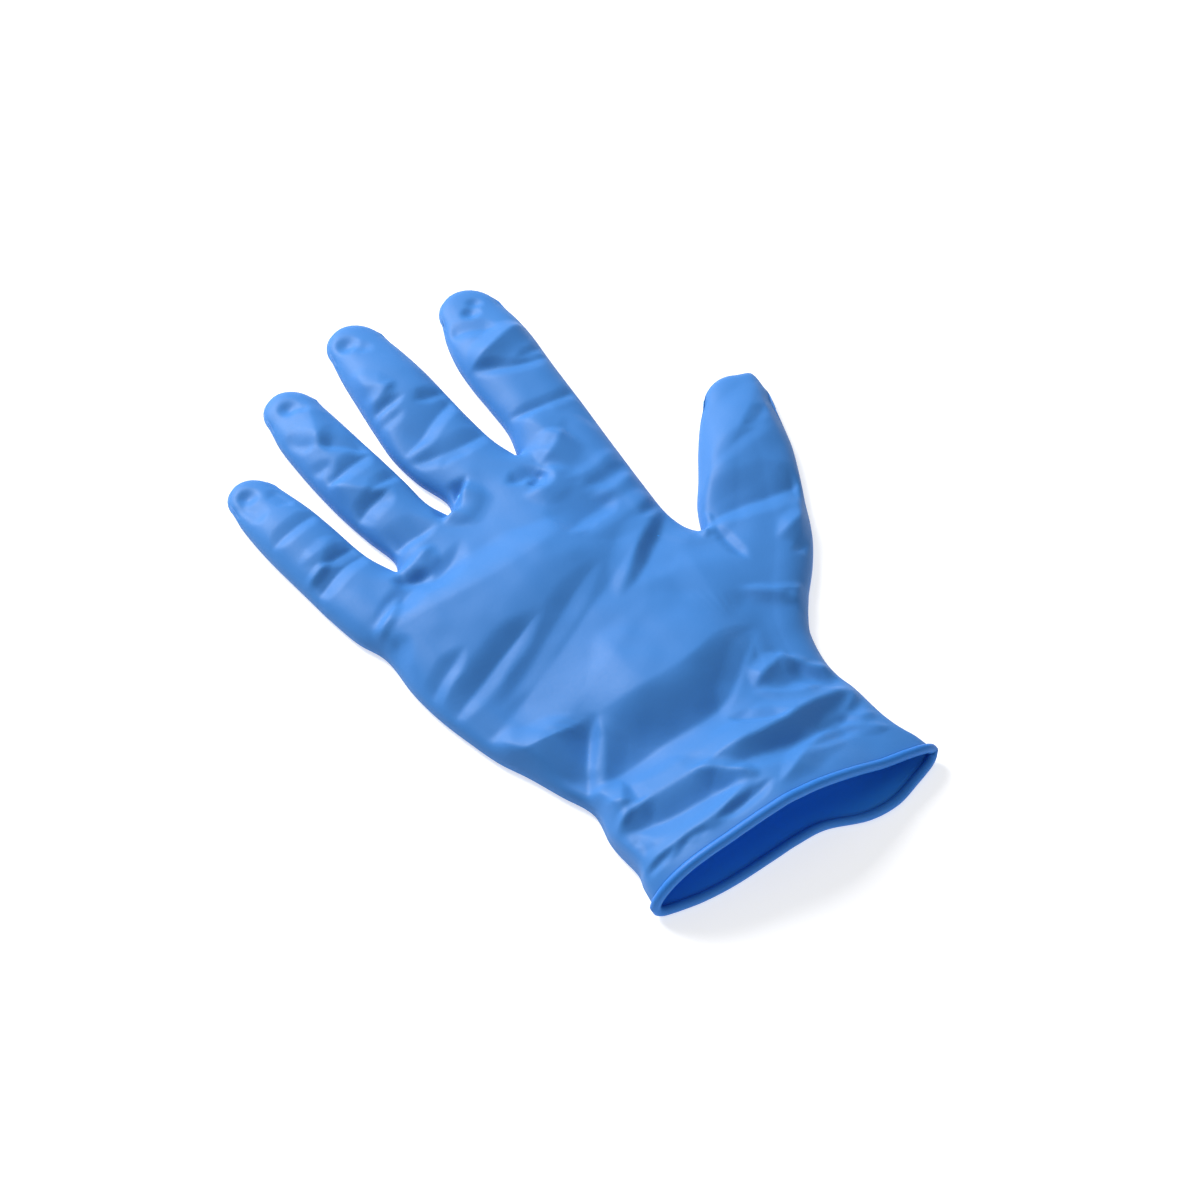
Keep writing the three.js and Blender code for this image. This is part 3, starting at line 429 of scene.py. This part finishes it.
thumb_places = (1 + column_places(THUMB_COLUMNS)[1:, None]) / 2
right_side = np.vstack([
    resample(wrist_line, WRIST_ROWS),
    mix(thumb_heel, thumb_web, thumb_places),
    resample(index_line, WEB_ROWS)[1:],
])
row_shares = lengths(right_side) / lengths(right_side)[-1]
little_length = lengths(little_line)
left_side = np.stack([
    np.interp(row_shares * little_length[-1], little_length, little_line[:, axis]) for axis in range(2)
], axis=1)

finger_places = (1 + column_places(FINGER_COLUMNS)[:, None]) / 2
root_line = [root_corners[0][None, :]]
for left_corner, right_corner in zip(root_corners, root_corners[1:]):
    root_line.append(mix(left_corner, right_corner, finger_places[1:]))
root_line = np.vstack(root_line)

u = np.linspace(0.0, 1.0, palm_columns + 1)[None, :, None]
v = row_shares[:, None, None]
rim_line = mix(left_side[0], right_side[0], u)
corners = mix(rim_line, mix(little_corner, index_corner, u), v)
palm_grid = mix(rim_line, root_line[None], v) + mix(left_side[:, None], right_side[:, None], u) - corners
palm_edge = np.zeros(palm_grid.shape[:2], bool)
palm_edge[:, 0] = True
palm_edge[: heel_row + 1, -1] = True
palm_edge[web_row:, -1] = True
palm_edge[-1, ::FINGER_COLUMNS] = True
palm = add_nodes(palm_grid.reshape(-1, 2), palm_edge.ravel()).reshape(palm_edge.shape)
edge_lines = [little_line, wrist_line, index_line]


def finger_patch(finger, root_row, start, end, rows):
    """A patch that grows from its root row of nodes and bulges into a round tip."""
    columns = len(root_row) - 1
    places = column_places(columns)[None, :, None]
    left = finger.side(start, -1, 1)
    right = finger.side(end, 1, 2)
    t = (np.arange(1, rows + 1) / rows)[:, None, None]
    grid = mix(resample(left, rows)[1:, None], resample(right, rows)[1:, None], (1 + places) / 2)
    tip = (1 - finger.sections[-1][0]) * finger.length
    grid = grid + tip * t**2 * np.sqrt(np.maximum(1 - places**2, 0.0)) * finger.axis
    on_edge = np.zeros(grid.shape[:2], bool)
    on_edge[:, [0, -1]] = True
    on_edge[-1] = True
    # Evening out the nodes of the round tip keeps them inside its edge
    share = smoothstep((t[1:-1] - SMOOTH_START) / (SMOOTH_FULL - SMOOTH_START))
    for _ in range(SMOOTH_ROUNDS):
        middle = (grid[:-2, 1:-1] + grid[2:, 1:-1] + grid[1:-1, :-2] + grid[1:-1, 2:]) / 4
        grid[1:-1, 1:-1] = mix(grid[1:-1, 1:-1], middle, share)
    edge_lines.extend([left, right, grid[-1]])
    new = add_nodes(grid.reshape(-1, 2), on_edge.ravel()).reshape(on_edge.shape)
    return np.vstack([root_row[None], new])


patches = [palm]
for index, finger in enumerate(fingers):
    first_column = index * FINGER_COLUMNS
    root_row = palm[-1, first_column:first_column + FINGER_COLUMNS + 1]
    patches.append(finger_patch(finger, root_row, root_corners[index], root_corners[index + 1], FINGER_ROWS))
thumb_root = palm[heel_row:web_row + 1, -1][::-1]
patches.append(finger_patch(thumb, thumb_root, thumb_web, thumb_heel, THUMB_ROWS))
plan = np.vstack(plan_points)
is_edge = np.concatenate(plan_edges)


def push_corners(points):
    """The points with the film's corners pushed out."""
    pushed = points.copy()
    for middle, reach, push in CORNERS:
        gap = np.linalg.norm(points - np.array(middle), axis=1)
        pushed += (1 - smoothstep(gap / reach))[:, None] * np.array(push)
    return pushed


plan = push_corners(plan)
edge_lines = [push_corners(line) for line in edge_lines]


def edge_distances(points, chunk=8000):
    """A smooth distance to the side edge: the edge's pull falls with the fourth power of the distance.

    An endless straight edge at distance d pulls with half a pi over the third power of d.
    """
    starts = []
    ends = []
    for line in edge_lines:
        count = max(int(lengths(line)[-1] / EDGE_STEP), 2)
        even = resample(line, count)
        starts.append(even[:-1])
        ends.append(even[1:])
    a = np.vstack(starts)
    b = np.vstack(ends)
    length = np.linalg.norm(b - a, axis=1)
    along = (b - a) / length[:, None]
    result = []
    for first in range(0, len(points), chunk):
        gap_x = a[:, 0] - points[first:first + chunk, :1]
        gap_y = a[:, 1] - points[first:first + chunk, 1:]
        near = gap_x * along[:, 0] + gap_y * along[:, 1]
        far = near + length
        h = np.maximum(np.abs(gap_x * along[:, 1] - gap_y * along[:, 0]), LEAST_DISTANCE)
        pull = 0.0
        for s, sign in ((far, 1.0), (near, -1.0)):
            pull = pull + sign * (s / (2 * h**2 * (h**2 + s**2)) + np.arctan(s / h) / (2 * h**3))
        result.append((pull.sum(axis=1) / (math.pi / 2)) ** (-1 / 3))
    return np.concatenate(result)


def fold_lift(fold, points):
    """How much one fold lifts the film at each point."""
    path, rise, left, right, sharp = fold
    curve = smooth_curve(path)
    line = resample(curve, max(int(lengths(curve)[-1] / FOLD_STEP), 3))
    reach = max(left, right)
    low = line.min(axis=0) - reach
    high = line.max(axis=0) + reach
    close = np.flatnonzero(np.all((points > low) & (points < high), axis=1))
    here = points[close]
    best_gap = np.full(len(here), np.inf)
    best_side = np.zeros(len(here))
    best_along = np.zeros(len(here))
    steps = len(line) - 1
    for step in range(steps):
        a = line[step]
        d = line[step + 1] - a
        t = np.clip(((here - a) @ d) / (d @ d), 0.0, 1.0)
        gap = np.linalg.norm(here - a - t[:, None] * d, axis=1)
        side = d[0] * (here[:, 1] - a[1]) - d[1] * (here[:, 0] - a[0])
        nearer = gap < best_gap
        best_gap = np.where(nearer, gap, best_gap)
        best_side = np.where(nearer, side, best_side)
        best_along = np.where(nearer, (step + t) / steps, best_along)
    taper = smoothstep(np.minimum(best_along, 1 - best_along) / FOLD_TAPER)
    widths = np.where(best_side > 0, left, right) * mix(LEAST_WIDTH, 1.0, taper)
    rounded_gap = np.sqrt(best_gap**2 + CREASE_RADIUS**2) - CREASE_RADIUS
    s = np.minimum(rounded_gap / widths, 1.0)
    lift = np.zeros(len(points))
    lift[close] = rise * taper * mix((1 - s**2) ** 2, (1 - s) ** FOLD_POWER, sharp)
    return lift


def stand_in_plan(folds):
    """The folds with their paths moved from where they look to be to where they stand."""
    moved = []
    for path, *shape in folds:
        points = np.array(path, float)
        lift = sum(fold_lift(fold, points) for fold in folds)
        moved.append((points - lift[:, None] * LOOK_SHIFT, *shape))
    return moved


def soft_noise(points, size, seed):
    """Even noise from -1 to 1 with blobs of about the given size in mm."""
    spots = np.random.default_rng(seed).uniform(-1.0, 1.0, (WAVE_CELLS, WAVE_CELLS))
    place = points / size + WAVE_OFFSET
    cell = np.floor(place).astype(int)
    t = smoothstep(place - cell)
    x, y = (cell % WAVE_CELLS).T
    next_x, next_y = ((cell + 1) % WAVE_CELLS).T
    near_row = mix(spots[x, y], spots[next_x, y], t[:, 0])
    far_row = mix(spots[x, next_y], spots[next_x, next_y], t[:, 0])
    return mix(near_row, far_row, t[:, 1])


def edge_heights(points):
    """Height of the side edge: low along the hand, and higher where the mouth is open."""
    return mix(EDGE_HEIGHT / 2, RIM_END_HEIGHT, 1 - smoothstep(points[:, 1] / RIM_END_LENGTH))


def lower_heights(points, distances):
    """The lower film: flat on the table, lifted in a round towards the side edges and over the bead."""
    bead = (BEAD_RADIUS - FILM / 2) * (1 - smoothstep(points[:, 1] / BEAD_LIFT_LENGTH))
    inward = np.clip(distances / RIM_END_REACH, 0.0, 1.0)
    return bead + (edge_heights(points) - bead) * (1 - np.sqrt(1 - (1 - inward) ** 2))


def upper_heights(points, distances):
    """The upper film: a round side, a broad crown over the palm, the open mouth and the folds."""
    side = np.sqrt(1 - (1 - np.clip(distances / SIDE_ROUNDING, 0.0, 1.0)) ** 2)
    inward = (distances - SIDE_ROUNDING) / PALM_CROWN_REACH
    crown = smoothstep(inward + CROWN_START) - smoothstep(CROWN_START)
    full = np.ones(len(points))
    for tip in TIPS:
        gap = np.linalg.norm(points - np.array(tip), axis=1)
        full -= TIP_LOWERING * (1 - smoothstep(gap / TIP_REACH))
    side_rise = (FINGER_HEIGHT - EDGE_HEIGHT / 2) * side * full
    body = EDGE_HEIGHT / 2 + side_rise + PALM_RISE * np.maximum(crown, 0.0)
    mouth = MOUTH_HEIGHT * read_rows(RIM, 1, points[:, 0] / CUFF[1])
    heights = mix(body, mouth, 1 - smoothstep(points[:, 1] / MOUTH_REACH))
    lift = sum(fold_lift(fold, points) for fold in stand_in_plan(WRIST_FOLDS + PALM_FOLDS + FINGER_FOLDS))
    for middle, radius, depth in DIMPLES:
        gap = np.linalg.norm(points - np.array(middle), axis=1) / radius
        lift -= depth * (1 - smoothstep(gap))
    for size, height, seed in WAVES:
        lift += height * soft_noise(points, size, seed)
    heights = heights + lift * smoothstep(distances / FOLD_EDGE_REACH)
    return np.maximum(heights, lower_heights(points, distances) + 2 * FILM + LEAST_HOLLOW)


# Vertices of the outer film: the upper ones first, then the lower ones, which share the edge nodes
distances = np.zeros(len(plan))
distances[~is_edge] = edge_distances(plan[~is_edge])
near_rim = 1 - smoothstep(plan[:, 1] / MOUTH_REACH)
swing = RIM_SWING * read_rows(RIM, 2, plan[:, 0] / CUFF[1]) * near_rim
setback = RIM_SETBACK * (1 - smoothstep(plan[:, 1] / SETBACK_REACH))
heights = upper_heights(plan, distances)
upper = np.column_stack([plan[:, 0], plan[:, 1] + setback, heights])
upper[is_edge, 2] = edge_heights(plan[is_edge])
lower = np.column_stack([plan[:, 0], plan[:, 1] + setback - swing, lower_heights(plan, distances)])
lower_number = np.arange(len(plan))
lower_number[~is_edge] = len(plan) + np.arange(np.count_nonzero(~is_edge))
outer = np.vstack([upper, lower[~is_edge]])


def fine_faces(grid):
    """Four-sided faces of every cell of a patch."""
    return np.stack([grid[:-1, :-1], grid[:-1, 1:], grid[1:, 1:], grid[1:, :-1]], axis=-1).reshape(-1, 4)


# Nodes round two by two cells, as rows down and columns across
AROUND = [(0, 0), (0, 1), (0, 2), (1, 2), (2, 2), (2, 1), (2, 0), (1, 0)]


def coarse_faces(grid):
    """Faces of two by two cells, which keep the nodes on the side edges and the rim."""
    faces = []
    for row in range(0, grid.shape[0] - 1, 2):
        for column in range(0, grid.shape[1] - 1, 2):
            face = []
            for down, across in AROUND:
                node = grid[row + down, column + across]
                is_corner = down != 1 and across != 1
                is_on_rim = grid is palm and row + down == 0
                if is_corner or is_edge[node] or is_on_rim:
                    face.append(node)
            faces.append(face)
    return faces


# Normals of the outer film from the fine cells of both sides
upper_quads = np.vstack([fine_faces(grid) for grid in patches])
lower_quads = lower_number[upper_quads][:, ::-1]
normals = np.zeros_like(outer)
for quads in (upper_quads, lower_quads):
    cross = np.cross(outer[quads[:, 2]] - outer[quads[:, 0]], outer[quads[:, 3]] - outer[quads[:, 1]])
    for corner in range(4):
        np.add.at(normals, quads[:, corner], cross)
normals /= np.linalg.norm(normals, axis=1)[:, None]
inner = outer - FILM * normals

coarse = [face for grid in patches for face in coarse_faces(grid)]
faces = upper_quads.tolist()
faces += [[int(lower_number[node]) for node in face[::-1]] for face in coarse]
inner_start = len(outer)
outer_count = len(faces)
faces += [[int(node) + inner_start for node in face[::-1]] for face in coarse]
faces += [[int(lower_number[node]) + inner_start for node in face] for face in coarse]

# The rim, where the outer and the inner film meet
rim_loop = np.concatenate([palm[0], lower_number[palm[0, -2:0:-1]]])
behind = np.concatenate([palm[1], lower_number[palm[1, -2:0:-1]]])
next_in_loop = np.roll(rim_loop, -1)
for here, ahead in zip(rim_loop.tolist(), next_in_loop.tolist()):
    faces.append([here, here + inner_start, ahead + inner_start, ahead])
vertices = np.vstack([outer, inner])
inside_faces = range(outer_count, outer_count + 2 * len(coarse))


def in_frame(points):
    """Points of the hand's plan, in metres in the part's frame."""
    moved = np.array(points, float)
    moved[:, 0] -= FRAME_ORIGIN[0]
    moved[:, 1] -= FRAME_ORIGIN[1]
    return moved * MM


def make_piece(name, points, faces, material):
    """A smooth mesh object that rides on the root and stands for the glove's solid."""
    mesh = bpy.data.meshes.new(name)
    used = np.unique(np.concatenate([np.asarray(face) for face in faces]))
    renumber = np.full(len(points), -1)
    renumber[used] = np.arange(len(used))
    mesh.from_pydata(in_frame(points[used]), [], [renumber[list(face)].tolist() for face in faces])
    mesh.update()
    mesh.shade_smooth()
    mesh.materials.append(material)
    piece = bpy.data.objects.new(name, mesh)
    bpy.context.scene.collection.objects.link(piece)
    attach(piece, "root")
    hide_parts("glove")
    return piece


# Nitrile: scale and detail of its clouds of colour and of its grain, how far the grain moves the roughness
# down and up, the grain's strength and its depth in metres, and how the film bends and mirrors light
CLOUD_SCALE = 28.0
CLOUD_DETAIL = 4.0
GRAIN_SCALE = 900.0
GRAIN_DETAIL = 3.0
ROUGHNESS_SPREAD = (-0.05, 0.06)
GRAIN_STRENGTH = 0.12
GRAIN_DEPTH = 0.00025
NITRILE_IOR = 1.5
NITRILE_SPECULAR = 0.2

# Lighter blue, darker blue and middle roughness of the outer film, of the bead and of the inner film. The
# bead and the inner film are the same nitrile as the outer film, but their blues are lighter and bluer: that
# extra is painted light, for light that shines through the thin film and bounces inside the glove.
FILM_LOOK = ((0.051, 0.21, 0.57), (0.041, 0.188, 0.52), 0.52)
BEAD_PAINTED_LIGHT_LOOK = ((0.034, 0.21, 0.66), (0.026, 0.18, 0.6), 0.47)
INSIDE_PAINTED_LIGHT_LOOK = ((0.045, 0.34, 0.95), (0.036, 0.3, 0.92), 0.5)


def noise_texture(nodes, scale, detail):
    """A noise texture node."""
    texture = nodes.new("ShaderNodeTexNoise")
    texture.inputs["Scale"].default_value = scale
    texture.inputs["Detail"].default_value = detail
    return texture


def nitrile_material(name, look):
    """Dipped nitrile: satin, with faint clouds of colour and a very fine grain."""
    light_blue, dark_blue, roughness = look
    material = bpy.data.materials.new(name)
    material.use_nodes = True
    nodes = material.node_tree.nodes
    links = material.node_tree.links
    shader = nodes["Principled BSDF"]
    place = nodes.new("ShaderNodeTexCoord")
    clouds = noise_texture(nodes, CLOUD_SCALE, CLOUD_DETAIL)
    grain = noise_texture(nodes, GRAIN_SCALE, GRAIN_DETAIL)
    colour = nodes.new("ShaderNodeMix")
    colour.data_type = "RGBA"
    colour.inputs["A"].default_value = (*dark_blue, 1.0)
    colour.inputs["B"].default_value = (*light_blue, 1.0)
    gloss = nodes.new("ShaderNodeMapRange")
    gloss.inputs["To Min"].default_value = roughness + ROUGHNESS_SPREAD[0]
    gloss.inputs["To Max"].default_value = roughness + ROUGHNESS_SPREAD[1]
    bump = nodes.new("ShaderNodeBump")
    bump.inputs["Strength"].default_value = GRAIN_STRENGTH
    bump.inputs["Distance"].default_value = GRAIN_DEPTH
    for texture in (clouds, grain):
        links.new(place.outputs["Object"], texture.inputs["Vector"])
    links.new(clouds.outputs["Fac"], colour.inputs["Factor"])
    links.new(colour.outputs["Result"], shader.inputs["Base Color"])
    links.new(grain.outputs["Fac"], gloss.inputs["Value"])
    links.new(gloss.outputs["Result"], shader.inputs["Roughness"])
    links.new(grain.outputs["Fac"], bump.inputs["Height"])
    links.new(bump.outputs["Normal"], shader.inputs["Normal"])
    shader.inputs["IOR"].default_value = NITRILE_IOR
    shader.inputs["Specular IOR Level"].default_value = NITRILE_SPECULAR
    shader.inputs["Sheen Weight"].default_value = 0.0
    return material


film_blue = nitrile_material("nitrile film", FILM_LOOK)
# The bead's copy of the nitrile is lighter and bluer than the film's: its own blue plus painted light
# shining through it
bead_painted_light_blue = nitrile_material("nitrile bead with painted light", BEAD_PAINTED_LIGHT_LOOK)
# The inner film's copy of the nitrile is much lighter and bluer: its own blue plus painted light, for light
# shining through the film and bouncing inside
inside_painted_light_blue = nitrile_material("nitrile inside with painted light", INSIDE_PAINTED_LIGHT_LOOK)
film = make_piece("glove_film", vertices, faces, film_blue)
# The inner film's faces take the copy whose extra brightness is painted light
film.data.materials.append(inside_painted_light_blue)
inside_painted_light_slot = len(film.data.materials) - 1
for face_number in inside_faces:
    film.data.polygons[face_number].material_index = inside_painted_light_slot

# The rolled bead along the rim
rim_points = outer[rim_loop]
rim_out = normals[rim_loop]
rim_ahead = rim_points - outer[behind]
rim_ahead -= np.sum(rim_ahead * rim_out, axis=1)[:, None] * rim_out
rim_ahead /= np.linalg.norm(rim_ahead, axis=1)[:, None]
bead_middle = rim_points + rim_ahead * BEAD_RADIUS * BEAD_SEAT - rim_out * FILM / 2
bead_points = []
for angle in np.arange(BEAD_SIDES) * 2 * math.pi / BEAD_SIDES:
    ring = bead_middle + BEAD_RADIUS * (math.cos(angle) * rim_ahead + math.sin(angle) * rim_out)
    bead_points.append(ring)
bead_points = np.vstack(bead_points)
ring_size = len(rim_loop)
bead_faces = []
for side in range(BEAD_SIDES):
    next_side = (side + 1) % BEAD_SIDES
    for step in range(ring_size):
        next_step = (step + 1) % ring_size
        bead_faces.append([
            side * ring_size + step, side * ring_size + next_step,
            next_side * ring_size + next_step, next_side * ring_size + step,
        ])
# The bead wears its own nitrile blue, lightened by painted light
make_piece("cuff_bead", bead_points, bead_faces, bead_painted_light_blue)

# A white floor, which also glows, so that it stays white and the glove's shadow stays light
FLOOR_SIZE = 6.0
FLOOR_COLOUR = (0.62, 0.62, 0.63, 1.0)
FLOOR_GLOW_COLOUR = (0.98, 0.99, 1.0, 1.0)
FLOOR_GLOW = 0.62
FLOOR_ROUGHNESS = 0.9
FLOOR_SPECULAR = 0.1

half_floor = FLOOR_SIZE / 2
floor_corners = [
    (-half_floor, -half_floor, 0), (half_floor, -half_floor, 0),
    (half_floor, half_floor, 0), (-half_floor, half_floor, 0),
]
floor_mesh = bpy.data.meshes.new("floor")
floor_mesh.from_pydata(floor_corners, [], [(0, 1, 2, 3)])
floor = bpy.data.objects.new("floor", floor_mesh)
bpy.context.scene.collection.objects.link(floor)
floor_material = bpy.data.materials.new("floor")
floor_material.use_nodes = True
floor_shader = floor_material.node_tree.nodes["Principled BSDF"]
floor_shader.inputs["Base Color"].default_value = FLOOR_COLOUR
floor_shader.inputs["Emission Color"].default_value = FLOOR_GLOW_COLOUR
floor_shader.inputs["Emission Strength"].default_value = FLOOR_GLOW
floor_shader.inputs["Roughness"].default_value = FLOOR_ROUGHNESS
floor_shader.inputs["Specular IOR Level"].default_value = FLOOR_SPECULAR
floor_mesh.materials.append(floor_material)

# Square lights: name, place and target in metres, size in metres, and power in watts. The key light
# stands beyond the fingertips, and a weak one in front lights the open mouth.
LIGHTS = [
    ("key", (-0.3, 1.4, 1.05), (0.0, 0.0, 0.0), 0.9, 51.0),
    ("top", (0.1, 0.2, 1.6), (0.0, 0.0, 0.0), 1.4, 3.0),
    ("front", (0.1, -0.9, 0.28), (0.0, -0.1, 0.0), 0.5, 1.4),
]
SKY_COLOUR = (1.0, 1.0, 1.0, 1.0)
SKY_STRENGTH = 0.22

for light_name, light_place, light_target, light_size, power in LIGHTS:
    light = bpy.data.lights.new(light_name, "AREA")
    light.size = light_size
    light.energy = power
    lamp = bpy.data.objects.new(light_name, light)
    lamp.location = light_place
    lamp.rotation_mode = "QUATERNION"
    lamp.rotation_quaternion = (Vector(light_target) - Vector(light_place)).to_track_quat("-Z", "Y")
    bpy.context.scene.collection.objects.link(lamp)

world = bpy.data.worlds.new("studio")
world.use_nodes = True
background = world.node_tree.nodes["Background"]
background.inputs["Color"].default_value = SKY_COLOUR
background.inputs["Strength"].default_value = SKY_STRENGTH
bpy.context.scene.world = world
bpy.context.scene.view_settings.view_transform = "Standard"

# Camera: degrees, distance and target in mm in the plan of the hand, lens and sensor in mm, clip in metres
CAMERA_AZIMUTH = -34.0
CAMERA_ELEVATION = 50.0
CAMERA_DISTANCE = 845.0
CAMERA_TARGET = (2.75, 103.0, 0.0)
CAMERA_LENS = 85.0
CAMERA_SENSOR = 36.0
CAMERA_CLIP = (0.01, 20.0)

azimuth = math.radians(CAMERA_AZIMUTH)
elevation = math.radians(CAMERA_ELEVATION)
back = Vector((
    math.sin(azimuth) * math.cos(elevation),
    -math.cos(azimuth) * math.cos(elevation),
    math.sin(elevation),
))
camera_data = bpy.data.cameras.new("camera")
camera_data.lens = CAMERA_LENS
camera_data.sensor_width = CAMERA_SENSOR
camera_data.clip_start, camera_data.clip_end = CAMERA_CLIP
camera = bpy.data.objects.new("camera", camera_data)
camera.location = Vector(in_frame([CAMERA_TARGET])[0]) + back * CAMERA_DISTANCE * MM
camera.rotation_mode = "QUATERNION"
camera.rotation_quaternion = (-back).to_track_quat("-Z", "Y")
bpy.context.scene.collection.objects.link(camera)
bpy.context.scene.camera = camera
